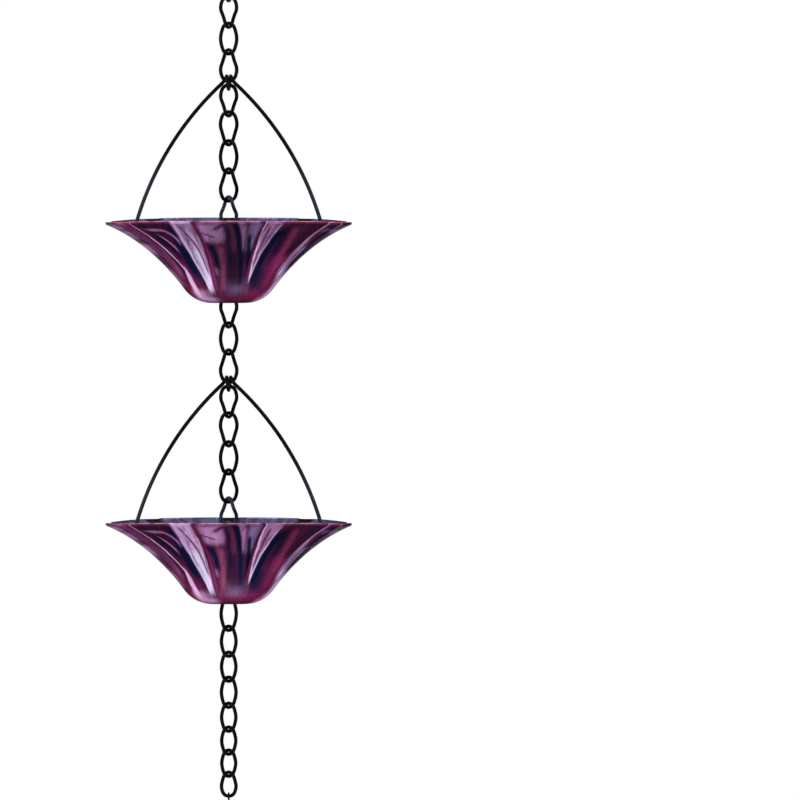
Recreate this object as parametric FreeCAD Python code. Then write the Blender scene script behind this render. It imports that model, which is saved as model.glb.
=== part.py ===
import FreeCAD, Part
import math
import os
from FreeCAD import Placement, Rotation, Vector

# Driving dimensions, in millimetres and degrees

# Air left between two pieces that bear on each other
AIR = 0.2

# Round wire of each kind of piece
LINK_WIRE = 2.4
HANDLE_WIRE = 2.5
RING_WIRE = 3.0
DROP_RING_WIRE = 1.2

# Hanging ring, by its inside radius
RING_INNER_R = 10.5

# Twisted links, by the radius of the bend at each end
CHAIN_END_R = 4.6
TAIL_END_R = 4.2
END_SWEEP = 66.0
CHAIN_TWIST = 58.0
TAIL_TWIST = 66.0
LAST_TWIST = 40.0

# Hand-bent links vary: how much each adds to the chain's length, from the top down
LEAD_PITCHES = (17.2, 17.2, 17.2, 17.6)
INNER_PITCHES = (17.4, 18.7, 18.2, 18.2, 16.1, 16.1, 16.0, 16.0)
OUTER_PITCHES = (17.5, 17.5, 18.2)
TAIL_PITCHES = (19.0, 16.8, 16.2, 16.9, 15.5, 14.9, 14.3, 12.9)

# How far each link's top is turned from the plane of the handles
LEAD_TURNS = (14.0, 0.0, -29.0, -54.0)
INNER_TURNS = (0.0, -8.0, -29.0, -54.0, -60.0, 70.0, 30.0, 8.0)
OUTER_TURNS = (0.0, -29.0, -54.0)
TAIL_TURNS = (-33.0, -33.0, -33.0, -33.0, -33.0, -33.0, -33.0, -35.0)

# Handle: two bowed legs that run out of one coiled eye
EYE_START = 25.0
LEG_TOP_OUT = 4.6
LEG_TOP_UP = -0.8
LEG_TOP_FORE = 3.3
LEG_TOP_LEAN = 47.0
LEG_SPAN = 59.0
LEG_DROP = 88.0
FOOT_LENGTH = 9.0
FOOT_BEND_R = 3.0
FOOT_AIR = 0.05
FOOT_REACH = 58.0

# Cup: drain hole, rounded belly, flared wall and a short turned-up lip
CUP_DROP = 88.6
CUP_WALL = 0.9
HOLE_R = 12.5
FLOOR_R = 11.0
BELLY_R = 22.0
WALL_ANGLE = 54.0
FLARE_R = 146.8
RIM_ANGLE = 28.0
LIP_R = 1.4
LIP_ANGLE = 80.0
LIP_HEIGHT = 0.8
FOLD_DEPTH = 7.0
# half of each fold's width, in degrees about the cup's axis, from the back fold round
FOLD_HALF_WIDTHS = (6.3, 6.0, 6.4, 6.3, 6.9, 5.6, 6.2, 6.4, 6.0)
FOLD_FOOT_R = 31.0
RIDGE_HEIGHT = 0.5
SIDE_DROOP = 2.0
DROOP_FROM_R = 45.0

# Faceted glass drop
DROP_HEIGHT = 60.0
DROP_WIDTH = 36.0
DROP_THICK = 14.0
DROP_GIRDLE = 2.4
DROP_TABLE = 0.55
DROP_SIDES = 8
DROP_TAPER = 1.3
DROP_TAB_R = 4.2
DROP_TAB_THICK = 3.0
DROP_TAB_LENGTH = 8.0
DROP_HOLE_R = 1.7
DROP_RING_R = 4.2

PETALS = len(FOLD_HALF_WIDTHS)


def polar(radius, angle):
    """The two legs of a slope: how far out and how far up."""
    a = math.radians(angle)
    return radius * math.cos(a), radius * math.sin(a)


def turned(v, angle):
    return Rotation(Vector(0, 0, 1), angle).multVec(v)


def save(shape, name):
    if not shape.isValid():
        raise ValueError(name + " isn't a valid solid")
    shape.exportStep(os.path.join("parts", name + ".step"))


# Round wire along arcs and straight runs


def arc_through(start, tangent, end):
    """The arc that leaves start along tangent and ends at end, as three points."""
    chord = end - start
    along = Vector(chord).normalize()
    side = tangent - along * tangent.dot(along)
    if side.Length < 1e-6:
        return (start, None, end)
    angle = math.acos(max(-1.0, min(1.0, tangent.dot(along))))
    rise = chord.Length / 2 * math.tan(angle / 2)
    return (start, start + chord * 0.5 + side.normalize() * rise, end)


def biarc(start, tangent, end, end_tangent):
    """Two arcs that join smoothly and meet both ends along their tangents."""
    chord = end - start
    both = tangent + end_tangent
    spread = 2 * (1 - tangent.dot(end_tangent))
    lean = chord.dot(both)
    if spread < 1e-9:
        reach = chord.dot(chord) / (2 * lean)
    else:
        reach = (math.sqrt(lean * lean + spread * chord.dot(chord)) - lean) / spread
    first_corner = start + tangent * reach
    last_corner = end - end_tangent * reach
    middle = (first_corner + last_corner) * 0.5
    crossing = (last_corner - first_corner).normalize()
    return [arc_through(start, tangent, middle), arc_through(middle, crossing, end)]


def wire_piece(run, diameter):
    """One length of round wire: a torus section on an arc, a cylinder on a straight."""
    start, middle, end = run
    if middle is None:
        edge = Part.makeLine(start, end)
    else:
        edge = Part.Arc(start, middle, end).toShape()
    first = edge.FirstParameter
    tangent = edge.tangentAt(first)
    disc = Part.Face(Part.Wire([Part.makeCircle(diameter / 2, start, tangent)]))
    if middle is None:
        return disc.extrude(end - start)
    sweep = math.degrees(edge.LastParameter - first)
    return disc.revolve(edge.Curve.Center, edge.Curve.Axis, sweep)


def bent_wire(runs, diameter):
    pieces = [wire_piece(run, diameter) for run in runs]
    whole = pieces[0].multiFuse(pieces[1:])
    return whole.Solids[0]


# Links


def link_length(pitch):
    """From the middle of the top bar to the middle of the bottom bar."""
    return pitch + LINK_WIRE + AIR


def twisted_link(pitch, end_r, twist):
    """A link with its top bar at the origin, its bottom end turned by the twist."""
    length = link_length(pitch)
    out, rise = polar(end_r, 90.0 - END_SWEEP)
    down = end_r - rise
    run_out, run_down = polar(1.0, END_SWEEP)
    top_left = Vector(-out, 0, -down)
    top_right = Vector(out, 0, -down)
    bottom_left = turned(Vector(-out, 0, down - length), twist)
    bottom_right = turned(Vector(out, 0, down - length), twist)
    runs = [(top_left, Vector(0, 0, 0), top_right)]
    runs += biarc(
        top_right,
        Vector(run_out, 0, -run_down),
        bottom_right,
        turned(Vector(-run_out, 0, -run_down), twist),
    )
    runs += [(bottom_right, Vector(0, 0, -length), bottom_left)]
    runs += biarc(
        bottom_left,
        turned(Vector(-run_out, 0, run_down), twist),
        top_left,
        Vector(run_out, 0, run_down),
    )
    return bent_wire(runs, LINK_WIRE)


def placed(shape, height, turn=0.0):
    copy = shape.copy()
    copy.Placement = Placement(Vector(0, 0, height), Rotation(Vector(0, 0, 1), turn))
    return copy


def hang_links(name, end_r, pitches, turns, twists, carrier_bar, carrier_wire):
    """Hangs links in a row under a bar, and returns the height of the last bottom bar."""
    top_bar = carrier_bar + (carrier_wire + LINK_WIRE) / 2 + AIR
    for index, pitch in enumerate(pitches):
        link = twisted_link(pitch, end_r, twists[index])
        save(placed(link, top_bar, turns[index]), f"{name}_{index + 1:02d}")
        top_bar -= pitch
    return top_bar - LINK_WIRE - AIR


# Cup wall


def profile_runs():
    """The wall's outside line from the drain hole out: heading, radius and length of each run.

    A positive radius turns the line upwards, a negative one flattens it.
    """
    hole_heading = math.asin((HOLE_R - FLOOR_R) / BELLY_R)
    wall = math.radians(WALL_ANGLE)
    rim = math.radians(RIM_ANGLE)
    lip = math.radians(LIP_ANGLE)
    return [
        (hole_heading, BELLY_R, BELLY_R * (wall - hole_heading)),
        (wall, -FLARE_R, FLARE_R * (wall - rim)),
        (rim, LIP_R, LIP_R * (lip - rim)),
        (lip, None, LIP_HEIGHT),
    ]


def run_point(radius, height, run, along):
    """The point and heading at a distance along one run of the profile."""
    heading, bend, length = run
    if bend is None:
        return radius + along * math.cos(heading), height + along * math.sin(heading), heading
    end = heading + along / bend
    out = bend * (math.sin(end) - math.sin(heading))
    up = bend * (math.cos(heading) - math.cos(end))
    return radius + out, height + up, end


def profile(distance):
    """Radius of the wall's outside line and its height over the drain hole's edge."""
    radius = HOLE_R
    height = 0.0
    runs = profile_runs()
    for run in runs[:-1]:
        if distance <= run[2]:
            return run_point(radius, height, run, distance)[:2]
        radius, height = run_point(radius, height, run, run[2])[:2]
        distance -= run[2]
    return run_point(radius, height, runs[-1], distance)[:2]


RIM_R, RIM_TOP = profile(sum(run[2] for run in profile_runs()))


def smooth(x):
    x = max(0.0, min(1.0, x))
    return x * x * (3 - 2 * x)


def fold(azimuth):
    """One in the middle of a fold, a little under zero on the ridges beside it."""
    petal = 360.0 / PETALS
    nearest = round((azimuth + 180.0) / petal)
    across = abs(azimuth + 180.0 - nearest * petal) / FOLD_HALF_WIDTHS[nearest % PETALS]
    ridge = RIDGE_HEIGHT / FOLD_DEPTH * math.exp(-(((across - 1.25) / 0.35) ** 2))
    if across >= 1:
        return -ridge
    return (1 + math.cos(math.pi * across)) / 2 - ridge


def wall_point(azimuth, distance):
    """A point on the cup's outside. Azimuth 0 is the front, 90 the side that a leg meets."""
    radius, height = profile(distance)
    depth = FOLD_DEPTH * smooth((radius - FOLD_FOOT_R) / (RIM_R - FOLD_FOOT_R)) ** 0.5
    spread = max(0.0, (radius - DROOP_FROM_R) / (RIM_R - DROOP_FROM_R))
    a = math.radians(azimuth)
    height -= SIDE_DROOP * spread**2 * math.sin(a) ** 4
    radius -= depth * fold(azimuth)
    return Vector(radius * math.sin(a), -radius * math.cos(a), height - RIM_TOP)


def inner_point(azimuth, distance, depth):
    """The point that lies a depth inside the cup's outside, square to it."""
    step = 0.02
    back = max(0.0, distance - step)
    around = wall_point(azimuth + step, distance) - wall_point(azimuth - step, distance)
    upward = wall_point(azimuth, distance + step) - wall_point(azimuth, back)
    inward = upward.cross(around).normalize()
    return wall_point(azimuth, distance) + inward * depth


def cup_stations():
    """Distances along the profile at which the wall is shaped, close together where it bends."""
    belly, flare, lip, top = [run[2] for run in profile_runs()]
    stations = [belly * share for share in (0.0, 0.25, 0.5, 0.75)]
    stations += [belly + flare * share for share in (0.0, 0.2, 0.4, 0.6, 0.8, 0.93, 1.0)]
    stations += [belly + flare + lip * share for share in (0.5, 1.0)]
    return stations + [belly + flare + lip + top]


def petal_steps(number):
    """Angles across one petal from fold to fold, close together where the wall folds."""
    petal = 360.0 / PETALS
    near, far = FOLD_HALF_WIDTHS[number], FOLD_HALF_WIDTHS[(number + 1) % PETALS]
    shares = (0.0, 0.5, 0.9, 1.3, 1.9)
    return [near * share for share in shares] + [petal / 2] + [petal - far * share for share in shares[::-1]]


def fitted_curve(points, places, first_slope=None, last_slope=None):
    curve = Part.BSplineCurve()
    if first_slope is None:
        curve.interpolate(Points=points, Parameters=places)
    else:
        curve.interpolate(
            Points=points,
            Parameters=places,
            InitialTangent=first_slope,
            FinalTangent=last_slope,
            Scale=False,
        )
    return curve


def petal_surface(place, number):
    """One petal of a surface that place(azimuth, distance) gives, smooth into its neighbours."""
    first_azimuth = -180.0 + 360.0 * number / PETALS
    steps = petal_steps(number)
    stations = cup_stations()
    step = 0.01

    def slope(azimuth, distance):
        rise = place(azimuth + step, distance) - place(azimuth - step, distance)
        return rise * (steps[-1] / (2 * step))

    rows = []
    for distance in stations:
        points = [place(first_azimuth + along, distance) for along in steps]
        ends = [slope(first_azimuth + along, distance) for along in (steps[0], steps[-1])]
        rows.append(fitted_curve(points, [along / steps[-1] for along in steps], *ends))
    up = [distance / stations[-1] for distance in stations]
    columns = [fitted_curve(list(poles), up) for poles in zip(*[row.getPoles() for row in rows])]
    surface = Part.BSplineSurface()
    surface.buildFromPolesMultsKnots(
        [column.getPoles() for column in columns],
        rows[0].getMultiplicities(),
        columns[0].getMultiplicities(),
        rows[0].getKnots(),
        columns[0].getKnots(),
        False,
        False,
        3,
        3,
    )
    return surface


def cup():
    def inside(azimuth, distance):
        return inner_point(azimuth, distance, CUP_WALL)

    faces = []
    for number in range(PETALS):
        outer = petal_surface(wall_point, number)
        inner = petal_surface(inside, number)
        faces += [outer.toShape(), inner.toShape()]
        for height in (0.0, 1.0):
            edges = [surface.vIso(height).toShape() for surface in (outer, inner)]
            faces.append(Part.makeRuledSurface(*edges))
    shell = Part.makeShell(faces)
    shell.sewShape()
    return Part.makeSolid(shell)


# Handle


def distance_at(radius, azimuth):
    """How far along the profile the outside reaches a radius."""
    low, high = 0.0, sum(run[2] for run in profile_runs()[:2])
    while high - low > 1e-4:
        middle = (low + high) / 2
        p = wall_point(azimuth, middle)
        if math.hypot(p.x, p.y) < radius:
            low = middle
        else:
            high = middle
    return low


def wall_tangent(radius, offset):
    """A point inside the wall beside a leg's foot, and the wall's slope there."""
    distance = distance_at(radius, 90.0)
    here = inner_point(90.0, distance, offset)
    slope = (wall_point(90.0, distance + 1) - wall_point(90.0, distance - 1)).normalize()
    return here, slope


def eye_sizes(end_r):
    """Where the eye's wires lie when two links bear in it, one above the other.

    Gives the eye's radius, half the spacing of its two upper turns, and the height of its
    middle over the bottom bar of the link that carries it.
    """
    side = (HANDLE_WIRE + AIR) / 2
    nest = end_r - (LINK_WIRE + HANDLE_WIRE) / 2 - AIR
    top = end_r - math.sqrt(nest**2 - side**2)
    bottom = nest - end_r - LINK_WIRE - AIR
    return (top - bottom) / 2, side, (top + bottom) / 2


def eye_point(angle, radius, side):
    """A point of the eye's wire and its direction. The angle starts at the top, going back."""
    a = math.radians(angle)
    point = Vector(side * (1 - angle / 180), radius * math.sin(a), radius * math.cos(a))
    heading = Vector(-side / math.pi, radius * math.cos(a), -radius * math.sin(a))
    return point, heading.normalize()


def opposite(v):
    """The matching point or direction of the other leg, half a turn about the upright axis."""
    return Vector(-v.x, -v.y, v.z)


def handle():
    """The handle, with the middle of its eye at the origin."""
    radius, side, _ = eye_sizes(CHAIN_END_R)
    yaw = math.degrees(math.atan2(LEG_TOP_FORE, LEG_SPAN - LEG_TOP_OUT))

    def leg(out, up):
        """A point or direction in the leg's upright plane, measured from its top."""
        return turned(Vector(out, 0, up), yaw)

    leg_top = Vector(LEG_TOP_OUT, -LEG_TOP_FORE, LEG_TOP_UP)
    reach = math.hypot(LEG_SPAN - LEG_TOP_OUT, LEG_TOP_FORE)
    chord = leg(reach, -LEG_DROP - LEG_TOP_UP)
    leg_low = leg_top + chord
    chord_lean = math.degrees(math.atan2(reach, LEG_DROP + LEG_TOP_UP))
    low_lean = 2 * chord_lean - LEG_TOP_LEAN
    down, out = polar(1.0, low_lean)
    leg_end_run = leg(out, -down)
    down, out = polar(1.0, LEG_TOP_LEAN)
    leg_start_run = leg(out, -down)

    offset = CUP_WALL + HANDLE_WIRE / 2 + FOOT_AIR
    here, slope = wall_tangent(FOOT_REACH, offset)
    here = here + Vector(0, 0, -CUP_DROP)
    foot_run = leg(-math.hypot(slope.x, slope.y), -slope.z)
    foot_middle = Vector(here.x, 0, here.z)
    corner_reach = FOOT_BEND_R * math.tan(leg_end_run.getAngle(foot_run) / 2)
    # the leg's last straight and the foot's line cross at the bend's corner
    across = foot_middle - leg_low
    det = leg_end_run.x * foot_run.z - leg_end_run.z * foot_run.x
    straight = (across.x * foot_run.z - across.z * foot_run.x) / det
    corner = leg_low + leg_end_run * straight
    bend_start = corner - leg_end_run * corner_reach
    bend_end = corner + foot_run * corner_reach
    foot_end = bend_end + foot_run * FOOT_LENGTH

    turns = [-EYE_START + (360 + 2 * EYE_START) * step / 5 for step in range(6)]
    coil = [eye_point(angle, radius, side) for angle in turns]
    runs = [(foot_end, None, bend_end)]
    runs += [arc_through(bend_end, foot_run * -1, bend_start)]
    runs += [(bend_start, None, leg_low)]
    runs += [arc_through(leg_low, leg_end_run * -1, leg_top)]
    runs += biarc(leg_top, leg_start_run * -1, coil[0][0], coil[0][1])
    mirrored = []
    for run in reversed(runs):
        start, middle, end = run
        mirrored.append((opposite(end), opposite(middle) if middle else None, opposite(start)))
    for (start, tangent), (end, end_tangent) in zip(coil, coil[1:]):
        runs += biarc(start, tangent, end, end_tangent)
    return bent_wire(runs + mirrored, HANDLE_WIRE)


# Glass drop


def drop_outline(scale):
    """Corners of the drop's outline, round from its tip, shrunk about the glass's widest level."""
    reach = (DROP_HEIGHT - DROP_TAB_LENGTH) / 2
    middle = -DROP_TAB_LENGTH - reach
    corners = []
    for number in range(2 * DROP_SIDES):
        a = math.pi * number / DROP_SIDES
        half = DROP_WIDTH / 2 * math.sin(a) * abs(math.sin(a / 2)) ** DROP_TAPER
        corners.append((half * scale / DROP_SWELL, middle + reach * scale * math.cos(a)))
    return corners


DROP_SWELL = max(
    math.sin(math.pi * step / 200) * math.sin(math.pi * step / 400) ** DROP_TAPER for step in range(200)
)


def drop():
    """The glass drop, with the top of its tab at the origin: a girdle bevelled to two tables."""
    girdle = drop_outline(1.0)
    table = drop_outline(DROP_TABLE)
    levels = [
        (table, -DROP_THICK / 2),
        (girdle, -DROP_GIRDLE / 2),
        (girdle, DROP_GIRDLE / 2),
        (table, DROP_THICK / 2),
    ]
    loops = [[Vector(x, depth, z) for x, z in outline] for outline, depth in levels]
    faces = [Part.Face(Part.makePolygon(loop + loop[:1])) for loop in (loops[0], loops[-1])]
    for near, far in zip(loops, loops[1:]):
        for index in range(len(near)):
            after = (index + 1) % len(near)
            for corners in (
                [near[index], near[after], far[after]],
                [near[index], far[after], far[index]],
            ):
                faces.append(Part.Face(Part.makePolygon(corners + corners[:1])))
    shell = Part.makeShell(faces)
    shell.sewShape()
    glass = Part.makeSolid(shell)
    half = DROP_TAB_THICK / 2
    back = Vector(0, 1, 0)
    tab = Part.makeCylinder(DROP_TAB_R, DROP_TAB_THICK, Vector(0, -half, -DROP_TAB_R), back)
    neck = Part.makeBox(
        2 * DROP_TAB_R,
        DROP_TAB_THICK,
        DROP_TAB_LENGTH,
        Vector(-DROP_TAB_R, -half, -DROP_TAB_R - DROP_TAB_LENGTH),
    )
    hole = Part.makeCylinder(DROP_HOLE_R, DROP_TAB_THICK, Vector(0, -half, -DROP_TAB_R), back)
    return glass.multiFuse([tab, neck]).cut(hole).removeSplitter().Solids[0]


# Assembly, from the hanging point down


def hang_unit(number, carrier_bar, handle_shape, cup_shape):
    """Hangs a handle, its cup and the links inside it, and returns the last bar's height."""
    _, _, eye_over_bar = eye_sizes(CHAIN_END_R)
    eye_middle = carrier_bar + eye_over_bar
    save(placed(handle_shape, eye_middle), f"handle_{number}")
    save(placed(cup_shape, eye_middle - CUP_DROP), f"cup_{number}")
    # the first inner link lies right under the carrying link, both inside the eye
    return hang_links(
        f"inner_link_{number}",
        CHAIN_END_R,
        INNER_PITCHES,
        INNER_TURNS,
        [CHAIN_TWIST] * len(INNER_TURNS),
        carrier_bar - 2 * (LINK_WIRE + AIR),
        LINK_WIRE,
    )


def main():
    os.makedirs("parts", exist_ok=True)
    handle_shape = handle()
    cup_shape = cup()

    ring_r = RING_INNER_R + RING_WIRE / 2
    ring = Part.makeTorus(ring_r, RING_WIRE / 2, Vector(0, 0, -RING_INNER_R), Vector(1, 0, 0))
    save(ring, "hanging_ring")
    bar = -RING_INNER_R - ring_r
    twists = [CHAIN_TWIST] * len(LEAD_TURNS)
    bar = hang_links("lead_link", CHAIN_END_R, LEAD_PITCHES, LEAD_TURNS, twists, bar, RING_WIRE)
    bar = hang_unit(1, bar, handle_shape, cup_shape)
    twists = [CHAIN_TWIST] * len(OUTER_TURNS)
    bar = hang_links("middle_link", CHAIN_END_R, OUTER_PITCHES, OUTER_TURNS, twists, bar, LINK_WIRE)
    bar = hang_unit(2, bar, handle_shape, cup_shape)
    twists = [TAIL_TWIST] * (len(TAIL_TURNS) - 1) + [LAST_TWIST]
    bar = hang_links("tail_link", TAIL_END_R, TAIL_PITCHES, TAIL_TURNS, twists, bar, LINK_WIRE)

    drop_ring_top = bar + (LINK_WIRE + DROP_RING_WIRE) / 2 + AIR
    drop_ring = Part.makeTorus(
        DROP_RING_R, DROP_RING_WIRE / 2, Vector(0, 0, drop_ring_top - DROP_RING_R), Vector(1, 0, 0)
    )
    save(drop_ring, "drop_ring")
    # the tab's two edges over the hole bear on the ring where it curves up
    bearing = math.sqrt((DROP_RING_R - DROP_RING_WIRE / 2) ** 2 - (DROP_TAB_THICK / 2) ** 2)
    drop_tip = drop_ring_top - DROP_RING_R - bearing + AIR + DROP_TAB_R - DROP_HOLE_R
    save(placed(drop(), drop_tip), "crystal_drop")


main()
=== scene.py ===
"""Looks of a length of rain chain: lacquered flower cups, gloss black chain and a glass drop."""

import math

import bpy
import numpy as np
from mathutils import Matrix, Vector

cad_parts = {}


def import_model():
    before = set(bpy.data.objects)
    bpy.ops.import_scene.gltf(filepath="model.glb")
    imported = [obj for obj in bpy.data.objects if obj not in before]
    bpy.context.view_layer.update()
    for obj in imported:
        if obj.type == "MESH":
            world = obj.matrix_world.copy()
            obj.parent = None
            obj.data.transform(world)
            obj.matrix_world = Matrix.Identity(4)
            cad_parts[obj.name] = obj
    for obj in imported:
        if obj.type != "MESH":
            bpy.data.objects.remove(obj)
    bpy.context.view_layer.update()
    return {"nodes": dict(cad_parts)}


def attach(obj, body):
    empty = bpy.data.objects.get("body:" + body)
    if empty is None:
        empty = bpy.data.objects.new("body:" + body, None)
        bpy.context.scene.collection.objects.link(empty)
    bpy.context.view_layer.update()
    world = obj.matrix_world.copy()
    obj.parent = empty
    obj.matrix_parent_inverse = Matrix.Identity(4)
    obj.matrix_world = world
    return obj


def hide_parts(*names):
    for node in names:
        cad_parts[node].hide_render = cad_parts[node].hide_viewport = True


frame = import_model()

MM = 0.001

# The cup's sizes in millimetres, as in the part
HOLE_R = 12.5
FLOOR_R = 11.0
BELLY_R = 22.0
WALL_ANGLE = math.radians(54.0)
FLARE_R = 146.8
RIM_ANGLE = math.radians(28.0)
LIP_R = 1.4
LIP_ANGLE = math.radians(80.0)
LIP_HEIGHT = 0.8
WALL = 0.9
PETALS = 9
FOLD_DEPTH = 7.0
FOLD_FOOT_R = 31.0
RIDGE_HEIGHT = 0.5
SIDE_DROOP = 2.0
DROOP_FROM_R = 45.0
# Half the width of each fold in degrees, from the rear one round by the left
FOLD_WIDTHS = [6.3, 6.0, 6.4, 6.3, 6.9, 5.6, 6.2, 6.4, 6.0]
# Heights of the two cups' rims, from where the hanging ring bears
CUP_TOPS = {1: -181.029, 2: -376.129}

# The ridge beside a fold: how far out it lies and how wide it is, in half widths of the fold
RIDGE_PLACE = 1.25
RIDGE_SPREAD = 0.35

# The wall from the hole to the rim: heading at the start, radius of the bend, and length
HOLE_HEADING = math.asin((HOLE_R - FLOOR_R) / BELLY_R)
RUNS = [
    (HOLE_HEADING, BELLY_R, BELLY_R * (WALL_ANGLE - HOLE_HEADING)),
    (WALL_ANGLE, -FLARE_R, FLARE_R * (WALL_ANGLE - RIM_ANGLE)),
    (RIM_ANGLE, LIP_R, LIP_R * (LIP_ANGLE - RIM_ANGLE)),
    (LIP_ANGLE, None, LIP_HEIGHT),
]
TOTAL = sum(run[2] for run in RUNS)

# How finely the cup's skin is divided. Angles are in degrees
PETAL_ANGLE = 360.0 / PETALS
FOLD_REACH = 9.0
COLUMNS_IN_FOLD = 14
COLUMNS_BESIDE_FOLD = 6
ROWS = (17, 33, 8, 4)
EDGE_STEPS = 6
SMALL_STEP = 0.02
OUTSIDE, INSIDE, EDGE = 0, 1, 2


def profile_point(distance):
    """Radius and height of the wall at a distance from the hole's edge."""
    radius, height = HOLE_R, 0.0
    for heading, bend, length in RUNS:
        along = min(distance, length)
        if bend is None:
            radius += along * math.cos(heading)
            height += along * math.sin(heading)
        else:
            end = heading + along / bend
            radius += bend * (math.sin(end) - math.sin(heading))
            height += bend * (math.cos(heading) - math.cos(end))
        distance -= along
        if distance <= 0:
            break
    return radius, height


RIM_R, RIM_TOP = profile_point(TOTAL)


def smooth(x):
    x = np.clip(x, 0.0, 1.0)
    return x * x * (3 - 2 * x)


def fold(azimuth):
    """How far into a fold each azimuth lies, with every fold's own width."""
    turns = (azimuth + 180.0) / PETAL_ANGLE
    nearest = np.round(turns)
    width = np.array(FOLD_WIDTHS)[nearest.astype(int) % PETALS]
    across = np.abs(turns - nearest) * PETAL_ANGLE / width
    ridge = RIDGE_HEIGHT / FOLD_DEPTH * np.exp(-(((across - RIDGE_PLACE) / RIDGE_SPREAD) ** 2))
    inside = (1 + np.cos(np.pi * np.minimum(across, 1.0))) / 2
    return inside - ridge


def wall_points(azimuth, radius, height):
    """Points of the wall's outside, with its folds and the droop to both sides."""
    depth = FOLD_DEPTH * np.sqrt(smooth((radius - FOLD_FOOT_R) / (RIM_R - FOLD_FOOT_R)))
    spread = np.maximum(0.0, (radius - DROOP_FROM_R) / (RIM_R - DROOP_FROM_R))
    a = np.radians(azimuth)
    up = height - RIM_TOP - SIDE_DROOP * spread**2 * np.sin(a) ** 4
    out = radius - depth * fold(azimuth)
    return np.stack([out * np.sin(a), -out * np.cos(a), up], axis=-1)


def cup_columns():
    """Azimuths round the cup, closer together in the folds."""
    in_fold = np.linspace(0, FOLD_REACH, COLUMNS_IN_FOLD + 1)[:-1]
    beside_fold = np.linspace(FOLD_REACH, PETAL_ANGLE / 2, COLUMNS_BESIDE_FOLD + 1)
    near = np.concatenate([in_fold, beside_fold])
    one = np.concatenate([near, PETAL_ANGLE - near[-2:0:-1]])
    return np.concatenate([-180.0 + PETAL_ANGLE * number + one for number in range(PETALS)])


def cup_rows():
    """Distances along the wall, closer together where it bends."""
    belly, flare, lip, _ = [run[2] for run in RUNS]
    stops = [WALL / 2, belly, belly + flare, belly + flare + lip, TOTAL - WALL / 2]
    steps = zip(stops, stops[1:-1], ROWS)
    rows = [np.linspace(low, high, count, endpoint=False) for low, high, count in steps]
    rows.append(np.linspace(stops[-2], stops[-1], ROWS[-1]))
    return np.concatenate(rows)


def make_cup(name, centre, materials):
    """The cup's sheet as one closed skin, with rounded edges at the rim and the hole."""
    azimuths = cup_columns()
    rows = cup_rows()

    def at(azimuth, distances):
        points = np.array([profile_point(d) for d in distances])
        grid, radius = np.meshgrid(azimuth, points[:, 0])
        _, height = np.meshgrid(azimuth, points[:, 1])
        return wall_points(grid, radius, height)

    outer = at(azimuths, rows)
    around = at(azimuths + SMALL_STEP, rows) - at(azimuths - SMALL_STEP, rows)
    upward = at(azimuths, rows + SMALL_STEP) - at(azimuths, rows - SMALL_STEP)
    inward = np.cross(upward, around)
    inward /= np.linalg.norm(inward, axis=-1, keepdims=True)
    upward /= np.linalg.norm(upward, axis=-1, keepdims=True)
    inner = outer + inward * WALL

    def rounded(row, sign):
        middle = (outer[row] + inner[row]) / 2
        across = (outer[row] - inner[row]) / 2
        ends = upward[row] * sign * WALL / 2
        turns = [math.pi * part / EDGE_STEPS for part in range(1, EDGE_STEPS)]
        return [middle + across * math.cos(t) + ends * math.sin(t) for t in turns]

    levels = list(outer) + rounded(-1, 1.0) + list(inner[::-1]) + rounded(0, -1.0)[::-1]
    levels = np.array(levels)
    count, columns = levels.shape[:2]
    share = list(rows / TOTAL)
    places = share + [share[-1]] * (EDGE_STEPS - 1) + share[::-1] + [share[0]] * (EDGE_STEPS - 1)
    kinds = [OUTSIDE] * (len(rows) - 1) + [EDGE] * EDGE_STEPS
    kinds += [INSIDE] * (len(rows) - 1) + [EDGE] * EDGE_STEPS

    faces = []
    slots = []
    texture = []
    for level in range(count):
        after = (level + 1) % count
        low, high = places[level], places[after]
        for column in range(columns):
            beside = (column + 1) % columns
            corners = [(level, column), (level, beside), (after, beside), (after, column)]
            faces.append([row * columns + place for row, place in corners])
            slots.append(kinds[level])
            left = (azimuths[column] + 180.0) / 360.0 * PETALS
            right = (azimuths[beside] + 180.0) / 360.0 * PETALS if beside else float(PETALS)
            texture += [(left, low), (right, low), (right, high), (left, high)]
    vertices = levels.reshape(-1, 3) * MM + np.array(centre)
    mesh = bpy.data.meshes.new(name)
    mesh.from_pydata(vertices.tolist(), [], faces)
    for material in materials:
        mesh.materials.append(material)
    mesh.polygons.foreach_set("material_index", slots)
    mesh.polygons.foreach_set("use_smooth", [True] * len(faces))
    layer = mesh.uv_layers.new(name="UVMap")
    layer.data.foreach_set("uv", np.array(texture, dtype=float).reshape(-1))
    mesh.update()
    cup = bpy.data.objects.new(name, mesh)
    bpy.context.scene.collection.objects.link(cup)
    return cup


# Materials


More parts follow.
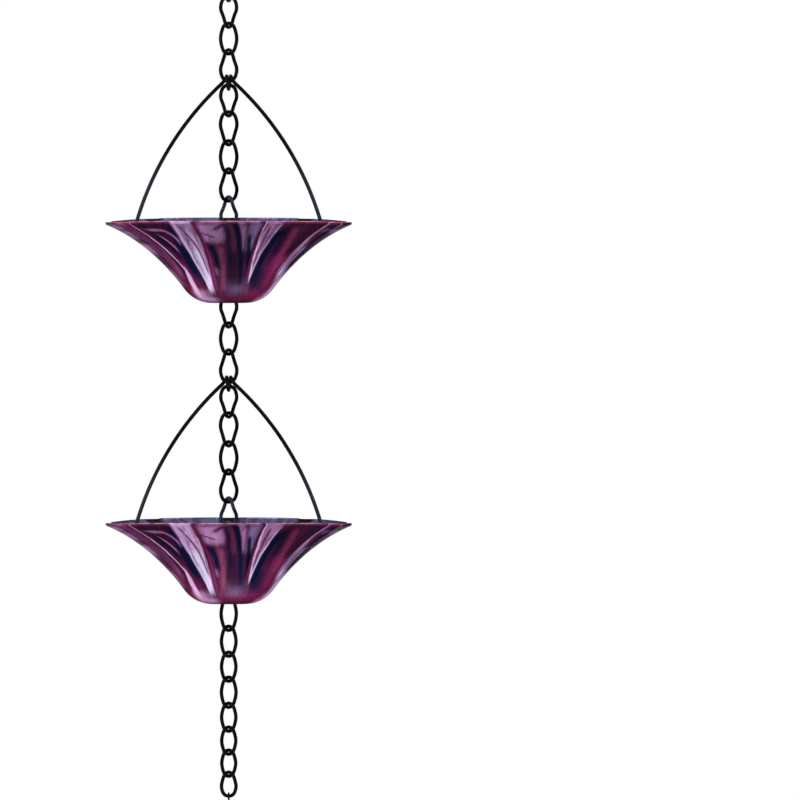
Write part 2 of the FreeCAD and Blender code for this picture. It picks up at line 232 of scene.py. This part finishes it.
class Nodes:
    """Short names for building a material's nodes."""

    def __init__(self, name):
        self.material = bpy.data.materials.new(name)
        self.material.use_nodes = True
        self.tree = self.material.node_tree
        self.shader = self.tree.nodes["Principled BSDF"]

    def add(self, kind, **values):
        node = self.tree.nodes.new(kind)
        for key, value in values.items():
            setattr(node, key, value)
        return node

    def link(self, source, target):
        self.tree.links.new(source, target)

    def put(self, socket, value):
        if isinstance(value, bpy.types.NodeSocket):
            self.link(value, socket)
        else:
            socket.default_value = value

    def paint(self, name, value):
        """Drives one of the shader's own inputs, or sets it."""
        self.put(self.shader.inputs[name], value)

    def place(self, kind):
        """The named coordinates, and their first, second and third numbers."""
        vector = self.add("ShaderNodeTexCoord").outputs[kind]
        split = self.add("ShaderNodeSeparateXYZ")
        self.link(vector, split.inputs[0])
        return vector, split.outputs

    def math(self, operation, a, b=0.0, c=0.0):
        node = self.add("ShaderNodeMath", operation=operation)
        for socket, value in zip(node.inputs, (a, b, c)):
            self.put(socket, value)
        return node.outputs[0]

    def ramp(self, value, low, high, start=0.0, end=1.0):
        """Goes smoothly from start to end as the value goes from low to high."""
        node = self.add("ShaderNodeMapRange", interpolation_type="SMOOTHSTEP", clamp=True)
        for socket, given in zip(node.inputs, (value, low, high, start, end)):
            self.put(socket, given)
        return node.outputs[0]

    def mix(self, factor, a, b, blend="MIX"):
        node = self.add("ShaderNodeMix", data_type="RGBA", blend_type=blend)
        self.put(node.inputs["Factor"], factor)
        self.put(node.inputs[6], a)
        self.put(node.inputs[7], b)
        return node.outputs[2]

    def noise(self, vector, scale, detail=3.0, roughness=0.5, distortion=0.0):
        node = self.add("ShaderNodeTexNoise")
        self.link(vector, node.inputs["Vector"])
        node.inputs["Scale"].default_value = scale
        node.inputs["Detail"].default_value = detail
        node.inputs["Roughness"].default_value = roughness
        node.inputs["Distortion"].default_value = distortion
        return node.outputs[0]

    def stretched(self, vector, scale):
        node = self.add("ShaderNodeMapping")
        self.link(vector, node.inputs["Vector"])
        node.inputs["Scale"].default_value = scale
        return node.outputs[0]

    def bump(self, height, strength, distance):
        node = self.add("ShaderNodeBump")
        node.inputs["Strength"].default_value = strength
        node.inputs["Distance"].default_value = distance
        self.link(height, node.inputs["Height"])
        self.paint("Normal", node.outputs[0])


def rgb(*values):
    return (*values, 1.0)


# Paints of the lacquer. Lavender and pink also serve as painted highlights, mauve partly so, and navy
# and deep partly as painted shade
PLUM = rgb(0.062, 0.011, 0.042)
WARM_PLUM = rgb(0.10, 0.022, 0.062)
DEEP = rgb(0.028, 0.008, 0.030)
NAVY = rgb(0.006, 0.009, 0.032)
BURGUNDY = rgb(0.180, 0.025, 0.080)
ROSE = rgb(0.230, 0.050, 0.120)
INK = rgb(0.004, 0.003, 0.006)
SLATE = rgb(0.200, 0.140, 0.290)
MAUVE = rgb(0.400, 0.200, 0.400)
PINK = rgb(0.620, 0.370, 0.590)
LAVENDER = rgb(0.560, 0.480, 0.700)
STREAK_SHADE = rgb(0.66, 0.62, 0.68)

# Paints of the cup's inside and edge: the blacks are painted shade, and the edge's pink and red are
# partly painted highlight
LINING_BLUE = rgb(0.10, 0.11, 0.21)
LINING_PLUM = rgb(0.07, 0.05, 0.12)
LINING_FOLD_SHADE = rgb(0.006, 0.006, 0.010)
EDGE_PINK = rgb(0.62, 0.20, 0.28)
EDGE_RED = rgb(0.30, 0.05, 0.10)
EDGE_SHADE = rgb(0.004, 0.004, 0.006)
EDGE_SLATE = rgb(0.10, 0.09, 0.16)

# Paints of the wires, with slate-blue painted reflections of the cup near the rims, and the glass
CHAIN_BLACK = (0.0010, 0.0010, 0.0012)
HANDLE_BLACK = (0.0012, 0.0013, 0.0018)
HANDLE_CUP_REFLECTION = (0.020, 0.026, 0.040)
LINK_CUP_REFLECTION = (0.0110, 0.0140, 0.0260)
AMBER = rgb(0.95, 0.48, 0.10)
DARK_AMBER = rgb(0.88, 0.36, 0.05)

# Heights in metres over a rim: those the handle's painted reflection of the cup repeats between, and
# fades between
REFLECTION_REPEAT = (-0.030, 0.165)
REFLECTION_FADE = (0.008, 0.050)

# Places round a cup are counted in petals from the rear fold, round by the left
FRONT = PETALS / 2
# How many petals the pattern of strokes spans before it repeats
PATTERN = 3

# Strokes laid in turn over the lacquer. Burgundy, rose and plum are the lacquer's own colours; the
# lavender and pink strokes along the folds, creases and the bottom are painted highlights, the mauve
# ones partly lacquer and partly painted highlight;
# navy and deep beside the folds are partly the lacquer's dark paint and partly painted shade. Each
# row: paint, lowest and highest share of the wall from the hole to the rim, place round the cup at its
# foot, middle and head, half its width at foot and head, blur, strength
STROKES = [
    (BURGUNDY, (0.08, 0.20), (5.1, 5.1, 5.1), (1.00, 1.00), 0.1, 0.75),
    (DEEP, (0.24, 0.98), (3.55, 3.52, 3.50), (0.25, 0.30), 0.4, 0.6),
    (NAVY, (0.34, 0.98), (3.64, 3.67, 3.80), (0.12, 0.04), 0.5, 1.0),
    (NAVY, (0.55, 0.90), (3.46, 3.42, 3.36), (0.05, 0.05), 0.6, 0.9),
    (BURGUNDY, (0.22, 0.66), (3.60, 3.45, 3.33), (0.10, 0.03), 0.8, 0.3),
    (MAUVE, (0.70, 0.87), (3.69, 3.68, 3.60), (0.02, 0.03), 0.8, 0.6),
    (MAUVE, (0.86, 0.90), (3.50, 3.46, 3.40), (0.13, 0.13), 0.5, 0.6),
    (MAUVE, (0.62, 0.81), (3.53, 3.50, 3.42), (0.02, 0.02), 0.8, 0.7),
    (SLATE, (0.16, 0.32), (4.75, 4.72, 4.70), (0.30, 0.25), 0.8, 0.5),
    (DEEP, (0.25, 0.60), (4.75, 4.70, 4.66), (0.28, 0.26), 0.6, 0.8),
    (ROSE, (0.20, 0.66), (4.33, 4.38, 4.37), (0.07, 0.045), 0.9, 0.85),
    (MAUVE, (0.72, 0.97), (4.28, 4.28, 4.26), (0.15, 0.17), 0.5, 0.9),
    (DEEP, (0.77, 0.84), (4.32, 4.22, 4.12), (0.03, 0.03), 0.7, 0.8),
    (DEEP, (0.88, 0.97), (4.33, 4.38, 4.46), (0.05, 0.04), 0.7, 0.8),
    (NAVY, (0.42, 0.70), (4.27, 4.25, 4.19), (0.05, 0.05), 0.5, 1.0),
    (SLATE, (0.36, 0.43), (4.24, 4.23, 4.22), (0.04, 0.04), 0.7, 0.6),
    (MAUVE, (0.62, 0.98), (4.73, 4.70, 4.67), (0.04, 0.05), 0.6, 0.7),
    (SLATE, (0.62, 0.98), (4.87, 4.86, 4.86), (0.07, 0.09), 0.5, 0.95),
    (NAVY, (0.45, 0.96), (4.55, 4.51, 4.47), (0.04, 0.03), 0.7, 0.85),
    (NAVY, (0.30, 1.00), (4.83, 4.70, 4.57), (0.05, 0.04), 0.5, 1.0),
    (NAVY, (0.46, 0.82), (4.93, 4.86, 4.80), (0.05, 0.03), 0.6, 0.95),
    (LAVENDER, (0.20, 1.00), (3.95, 3.88, 3.91), (0.10, 0.085), 0.16, 0.95),
    (LAVENDER, (0.23, 0.78), (3.93, 3.87, 3.89), (0.09, 0.125), 0.2, 0.92),
    (MAUVE, (0.62, 1.00), (3.88, 3.89, 3.90), (0.14, 0.10), 0.3, 0.72),
    (PLUM, (0.37, 0.95), (3.98, 3.92, 3.87), (0.020, 0.014), 0.7, 0.85),
    (SLATE, (0.46, 0.97), (3.81, 3.84, 3.93), (0.018, 0.012), 0.7, 0.75),
    (MAUVE, (0.30, 0.90), (4.02, 4.00, 3.95), (0.02, 0.012), 0.7, 0.7),
    (BURGUNDY, (0.16, 1.00), (4.14, 4.11, 4.03), (0.04, 0.025), 0.5, 0.85),
    (NAVY, (0.27, 0.88), (5.20, 5.20, 5.25), (0.10, 0.06), 0.6, 1.0),
    (NAVY, (0.22, 0.42), (5.42, 5.40, 5.36), (0.22, 0.20), 0.7, 0.8),
    (NAVY, (0.44, 0.92), (5.44, 5.36, 5.28), (0.07, 0.05), 0.7, 0.75),
    (BURGUNDY, (0.22, 0.56), (5.90, 5.78, 5.66), (0.30, 0.22), 0.7, 0.75),
    (ROSE, (0.40, 0.92), (5.70, 5.56, 5.42), (0.08, 0.05), 0.8, 0.45),
    (DEEP, (0.55, 1.00), (5.78, 5.76, 5.72), (0.12, 0.12), 0.7, 0.6),
    (MAUVE, (0.48, 1.00), (5.06, 5.08, 5.09), (0.03, 0.075), 0.3, 0.60),
    (PLUM, (0.42, 0.92), (5.075, 5.07, 5.07), (0.012, 0.014), 0.7, 0.8),
    (PINK, (0.31, 1.00), (5.075, 5.03, 5.005), (0.016, 0.010), 0.6, 0.95),
    (LAVENDER, (0.31, 0.95), (5.085, 5.12, 5.17), (0.014, 0.008), 0.6, 0.8),
    (PINK, (0.05, 0.13), (3.45, 3.45, 3.45), (0.55, 0.50), 0.6, 0.60),
    (PINK, (0.09, 0.21), (3.42, 3.42, 3.42), (0.50, 0.34), 0.8, 0.45),
    (PINK, (0.12, 0.42), (3.26, 3.32, 3.40), (0.17, 0.03), 0.5, 0.95),
    (SLATE, (0.36, 0.68), (3.09, 3.09, 3.10), (0.10, 0.08), 0.5, 0.75),
    (DEEP, (0.66, 1.00), (3.13, 3.12, 3.12), (0.04, 0.05), 0.5, 0.9),
    (PINK, (0.34, 1.00), (3.42, 3.24, 3.17), (0.022, 0.012), 0.6, 1.0),
    (PINK, (0.34, 1.00), (3.10, 3.06, 3.04), (0.020, 0.016), 0.6, 0.95),
]

# Strokes of the petals to either side, which show edge on from the front, with the same mix of lacquer
# colours, painted highlights and painted shade; the near-black at the two side tips is painted shade.
# They don't repeat
SIDE_STROKES = [
    (MAUVE, (0.26, 0.98), (2.55, 2.55, 2.55), (0.34, 0.36), 0.1, 0.70),
    (PLUM, (0.86, 0.91), (2.30, 2.30, 2.30), (0.60, 0.60), 0.1, 0.55),
    (PLUM, (0.69, 0.76), (2.30, 2.30, 2.30), (0.60, 0.60), 0.1, 0.80),
    (PINK, (0.58, 0.68), (2.30, 2.30, 2.30), (0.56, 0.56), 0.1, 0.40),
    (PLUM, (0.40, 0.57), (2.30, 2.30, 2.30), (0.60, 0.60), 0.1, 0.80),
    (PLUM, (0.26, 0.98), (2.86, 2.88, 2.90), (0.05, 0.04), 0.6, 0.85),
    (DEEP, (0.50, 0.98), (6.50, 6.50, 6.50), (0.34, 0.34), 0.1, 0.80),
    (MAUVE, (0.84, 0.90), (6.60, 6.55, 6.50), (0.40, 0.40), 0.4, 0.45),
    (LAVENDER, (0.14, 0.42), (6.50, 6.45, 6.38), (0.36, 0.28), 0.3, 0.50),
    (PLUM, (0.40, 1.10), (6.10, 6.06, 6.04), (0.04, 0.03), 0.5, 0.60),
    (NAVY, (0.36, 0.88), (6.40, 6.26, 6.17), (0.06, 0.05), 0.5, 1.0),
    # The two side tips of the rim: painted shade
    (INK, (0.955, 1.10), (2.22, 2.22, 2.22), (0.22, 0.22), 0.5, 1.0),
    (INK, (0.965, 1.10), (6.78, 6.78, 6.78), (0.20, 0.20), 0.5, 1.0),
]


def stroke(m, body, around, up, given, repeats):
    """Lays one stroke over the colour so far: the lacquer's own paint, a painted highlight or painted
    shade.
    """
    paint, (low, high), places, (foot, head), blur, strength = given
    bend, slope, start = np.polyfit([low, (low + high) / 2, high], places, 2).tolist()
    centre = m.math("MULTIPLY_ADD", m.math("MULTIPLY_ADD", up, bend, slope), up, start)
    aside = m.math("SUBTRACT", around, centre)
    if repeats:
        aside = m.math("WRAP", aside, PATTERN / 2, -PATTERN / 2)
    growth = (head - foot) / (high - low)
    half = m.math("MULTIPLY_ADD", up, growth, foot - growth * low)
    ratio = m.math("DIVIDE", m.math("ABSOLUTE", aside), half)
    across = m.ramp(ratio, 1.0 - blur, 1.0 + blur, strength, 0.0)
    fade = min(0.05, 0.3 * (high - low))
    starts = m.ramp(up, low - fade, low + fade)
    ends = m.ramp(up, high - fade, high + fade, 1.0, 0.0)
    return m.mix(m.math("MULTIPLY", across, m.math("MULTIPLY", starts, ends)), body, paint)


def lacquer(name):
    """Metallic lacquer brushed in streaks from the rim to the drain hole, with painted highlights and
    painted shade laid over it in strokes.
    """
    m = Nodes(name)
    place, (petal, up, _) = m.place("UV")
    waver = m.noise(m.stretched(place, (3.0, 4.0, 1.0)), 1.0, 2.0)
    streak = m.noise(m.stretched(place, (14.0, 1.6, 1.0)), 1.0, 3.0, 0.55, 0.5)
    fine = m.noise(m.stretched(place, (42.0, 3.0, 1.0)), 1.0, 3.0, 0.6, 0.5)
    mottle = m.noise(m.stretched(place, (11.0, 7.0, 1.0)), 1.0, 4.0, 0.6, 0.6)
    around = m.math("MULTIPLY_ADD", m.math("SUBTRACT", waver, 0.5), 0.05, petal)
    body = m.mix(m.ramp(streak, 0.38, 0.62), PLUM, WARM_PLUM)
    # The strokes lay the lacquer's own colours, painted highlights and painted shade
    for given in STROKES:
        body = stroke(m, body, around, up, given, True)
    for given in SIDE_STROKES:
        body = stroke(m, body, around, up, given, False)
    shaded = m.mix(1.0, body, STREAK_SHADE, "MULTIPLY")
    body = m.mix(m.ramp(fine, 0.42, 0.66, 0.0, 0.6), body, shaded)
    m.paint("Base Color", m.mix(m.ramp(mottle, 0.50, 0.68, 0.0, 0.40), body, DEEP))
    m.paint("Metallic", 0.5)
    m.paint("Specular Tint", rgb(0.12, 0.10, 0.14))
    m.paint("Specular IOR Level", 0.0)
    m.paint("Roughness", m.ramp(fine, 0.3, 0.7, 0.22, 0.32))
    m.bump(streak, 0.15, 0.001)
    return m.material


def lining(name):
    """The cup's inside: the same lacquer, darker and bluer, with painted shade in black along the
    folds.
    """
    m = Nodes(name)
    place, (petal, _, _) = m.place("UV")
    within = m.math("FRACT", petal)
    from_fold = m.math("MINIMUM", within, m.math("SUBTRACT", 1.0, within))
    streak = m.noise(m.stretched(place, (6.0, 1.2, 1.0)), 1.0, 3.0, 0.55, 0.7)
    blue = m.mix(m.ramp(streak, 0.42, 0.56), LINING_BLUE, LINING_PLUM)
    # Black along the folds is painted shade
    m.paint("Base Color", m.mix(m.ramp(from_fold, 0.08, 0.14), LINING_FOLD_SHADE, blue))
    m.paint("Metallic", 0.75)
    m.paint("Specular Tint", rgb(0.35, 0.35, 0.40))
    m.paint("IOR", 1.3)
    m.paint("Roughness", m.ramp(streak, 0.3, 0.7, 0.26, 0.36))
    return m.material


def rim(name):
    """The cut edge of the sheet: pink-red over the front petals, partly painted highlight, and black
    on the others as painted shade.
    """
    m = Nodes(name)
    place, (petal, _, _) = m.place("UV")
    patch = m.noise(m.stretched(place, (5.0, 1.0, 1.0)), 1.0, 3.0, 0.6, 0.4)
    red = m.mix(m.ramp(patch, 0.4, 0.6), EDGE_PINK, EDGE_RED)
    black = m.mix(m.ramp(patch, 0.45, 0.6), EDGE_SHADE, EDGE_SLATE)
    aside = m.math("ABSOLUTE", m.math("SUBTRACT", petal, FRONT))
    # Front petals partly painted highlight, the rest in painted shade
    m.paint("Base Color", m.mix(m.ramp(aside, 1.75, 2.0), red, black))
    m.paint("Metallic", 0.6)
    m.paint("Specular Tint", rgb(0.15, 0.10, 0.12))
    m.paint("Specular IOR Level", 0.0)
    m.paint("Roughness", m.ramp(patch, 0.3, 0.7, 0.25, 0.35))
    return m.material


def black_gloss(name, tint, scale, reflection_at_cup=None):
    """Thick gloss paint on wire, with the small waves of a dipped coat.
    Where a painted reflection of the cup is given, the wire takes it on near the cups' rims."""
    m = Nodes(name)
    place, (_, _, height) = m.place("Object")
    waves = m.noise(place, scale, 3.0, 0.5)
    fine = m.noise(place, scale * 6.0, 2.0, 0.5)
    body = m.mix(m.ramp(waves, 0.35, 0.65), rgb(*tint), rgb(*[t * 2.2 for t in tint]))
    # Slate-blue painted reflection of the cup's lacquer near each rim
    if reflection_at_cup:
        from_rim = m.math("ADD", height, -CUP_TOPS[1] * MM)
        above_rim = m.math("WRAP", from_rim, REFLECTION_REPEAT[1], REFLECTION_REPEAT[0])
        body = m.mix(m.ramp(above_rim, *REFLECTION_FADE, 1.0, 0.0), body, rgb(*reflection_at_cup))
    m.paint("Base Color", body)
    m.paint("Roughness", m.ramp(fine, 0.3, 0.7, 0.11, 0.17))
    m.paint("Specular IOR Level", 0.025)
    m.bump(waves, 0.03, 0.0004)
    return m.material


def amber(name):
    """Clear coloured glass, a little uneven in its colour."""
    m = Nodes(name)
    place, _ = m.place("Object")
    cloud = m.noise(place, 60.0, 2.0, 0.5)
    m.paint("Base Color", m.mix(m.ramp(cloud, 0.35, 0.65), AMBER, DARK_AMBER))
    m.paint("Roughness", m.ramp(cloud, 0.3, 0.7, 0.0, 0.03))
    m.paint("Transmission Weight", 1.0)
    m.paint("IOR", 1.52)
    return m.material


outside = lacquer("cup_outside")
inside = lining("cup_inside")
edge = rim("cup_edge")
chain_paint = black_gloss("chain_paint", CHAIN_BLACK, 220.0)
handle_paint = black_gloss("handle_paint", HANDLE_BLACK, 160.0, HANDLE_CUP_REFLECTION)
cup_link_paint = black_gloss("cup_link_paint", LINK_CUP_REFLECTION, 220.0)
glass = amber("amber_glass")


def paint_of(name):
    """The material of a solid: the lowest four inner links of each cup carry a slate-blue painted
    reflection of the cup.
    """
    if name.startswith("handle"):
        return handle_paint
    if name == "crystal_drop":
        return glass
    # These links carry a slate-blue painted reflection of the cup
    if name.startswith("inner_link") and name.endswith(("05", "06", "07", "08")):
        return cup_link_paint
    return outside if name.startswith("cup") else chain_paint


for name, node in frame["nodes"].items():
    node.data.materials.clear()
    node.data.materials.append(paint_of(name))

for number, top in CUP_TOPS.items():
    cup = make_cup(f"cup_{number}_skin", (0.0, 0.0, top * MM), [outside, inside, edge])
    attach(cup, f"cup_unit_{number}")
    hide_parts(f"cup_{number}")


# Floor, light and camera

FLOOR_LEVEL = -0.75
FLOOR_HALF = 3.0
# The distances between which the floor passes into the white behind it
WHITE_FROM, WHITE_TO = 0.3, 1.1
WHITE = rgb(1.0, 1.0, 1.0)
WORLD_LIGHT = 0.75

# Each lamp's name, place, aim, width and height, and power in watts
LAMPS = [
    ("key", (-1.1, -1.2, 0.1), (0.0, 0.0, -0.25), (0.5, 1.4), 16.0),
    ("fill", (1.3, -0.9, 0.2), (0.0, 0.0, -0.25), (0.3, 1.2), 7.0),
    ("top", (0.0, -0.3, 1.2), (0.0, 0.0, -0.3), (1.2, 1.2), 11.0),
]


def background_rays(tree):
    """One where a ray comes from the camera, a gloss or a clear surface, and zero elsewhere."""
    path = tree.nodes.new("ShaderNodeLightPath")
    either = path.outputs["Is Camera Ray"]
    for ray in ("Is Glossy Ray", "Is Transmission Ray"):
        both = tree.nodes.new("ShaderNodeMath")
        both.operation = "MAXIMUM"
        tree.links.new(either, both.inputs[0])
        tree.links.new(path.outputs[ray], both.inputs[1])
        either = both.outputs[0]
    return either


def floor():
    """A pale floor that can be seen through from below."""
    mesh = bpy.data.meshes.new("floor")
    corners = [(-1, -1), (1, -1), (1, 1), (-1, 1)]
    points = [(x * FLOOR_HALF, y * FLOOR_HALF, FLOOR_LEVEL) for x, y in corners]
    mesh.from_pydata(points, [], [(0, 1, 2, 3)])
    plane = bpy.data.objects.new("floor", mesh)
    bpy.context.scene.collection.objects.link(plane)
    m = Nodes("pale_floor")
    place, _ = m.place("Object")
    grain = m.noise(place, 30.0, 3.0)
    m.paint("Base Color", m.mix(m.ramp(grain, 0.3, 0.7), rgb(0.82, 0.82, 0.82), rgb(0.84, 0.84, 0.84)))
    m.paint("Roughness", 0.8)
    m.paint("Specular IOR Level", 0.0)
    m.paint("Emission Color", WHITE)
    out = m.add("ShaderNodeVectorMath", operation="LENGTH")
    m.link(place, out.inputs[0])
    far = m.ramp(out.outputs["Value"], WHITE_FROM, WHITE_TO)
    m.paint("Emission Strength", m.math("MULTIPLY", far, background_rays(m.tree)))
    underside = m.add("ShaderNodeMixShader")
    m.link(m.add("ShaderNodeNewGeometry").outputs["Backfacing"], underside.inputs[0])
    m.link(m.shader.outputs[0], underside.inputs[1])
    m.link(m.add("ShaderNodeBsdfTransparent").outputs[0], underside.inputs[2])
    m.link(underside.outputs[0], m.tree.nodes["Material Output"].inputs["Surface"])
    mesh.materials.append(m.material)


def aimed(name, data, place, target):
    """Puts a lamp or a camera at a place, turned to its target."""
    thing = bpy.data.objects.new(name, data)
    thing.location = place
    thing.rotation_mode = "QUATERNION"
    thing.rotation_quaternion = (Vector(target) - Vector(place)).to_track_quat("-Z", "Y")
    bpy.context.scene.collection.objects.link(thing)
    return thing


def area_light(name, place, target, size, power):
    light = bpy.data.lights.new(name, "AREA")
    light.shape = "RECTANGLE"
    light.size, light.size_y = size
    light.energy = power
    aimed(name, light, place, target)


def world():
    """Soft light from all sides, and a white background."""
    studio = bpy.data.worlds.new("studio")
    studio.use_nodes = True
    bpy.context.scene.world = studio
    tree = studio.node_tree
    tree.nodes.clear()
    mix = tree.nodes.new("ShaderNodeMixShader")
    tree.links.new(background_rays(tree), mix.inputs[0])
    for socket, strength in ((mix.inputs[1], WORLD_LIGHT), (mix.inputs[2], 1.0)):
        background = tree.nodes.new("ShaderNodeBackground")
        background.inputs["Color"].default_value = WHITE
        background.inputs["Strength"].default_value = strength
        tree.links.new(background.outputs[0], socket)
    tree.links.new(mix.outputs[0], tree.nodes.new("ShaderNodeOutputWorld").inputs[0])


floor()
for lamp in LAMPS:
    area_light(*lamp)
world()

# The picture spans 518 mm at the chain, which is seen from a little above level
SPAN = 0.5184
REACH = 20.0
ELEVATION = math.radians(1.15)
SENSOR = 36.0
CAMERA_TARGET = Vector((0.1110, 0.0, -0.2981))
camera_data = bpy.data.cameras.new("camera")
camera_data.sensor_width = SENSOR
camera_data.lens = SENSOR * REACH / SPAN
camera_data.clip_end = 100.0
back = Vector((0.0, -math.cos(ELEVATION), math.sin(ELEVATION)))
bpy.context.scene.camera = aimed("camera", camera_data, CAMERA_TARGET + back * REACH, CAMERA_TARGET)
bpy.context.scene.view_settings.view_transform = "Standard"
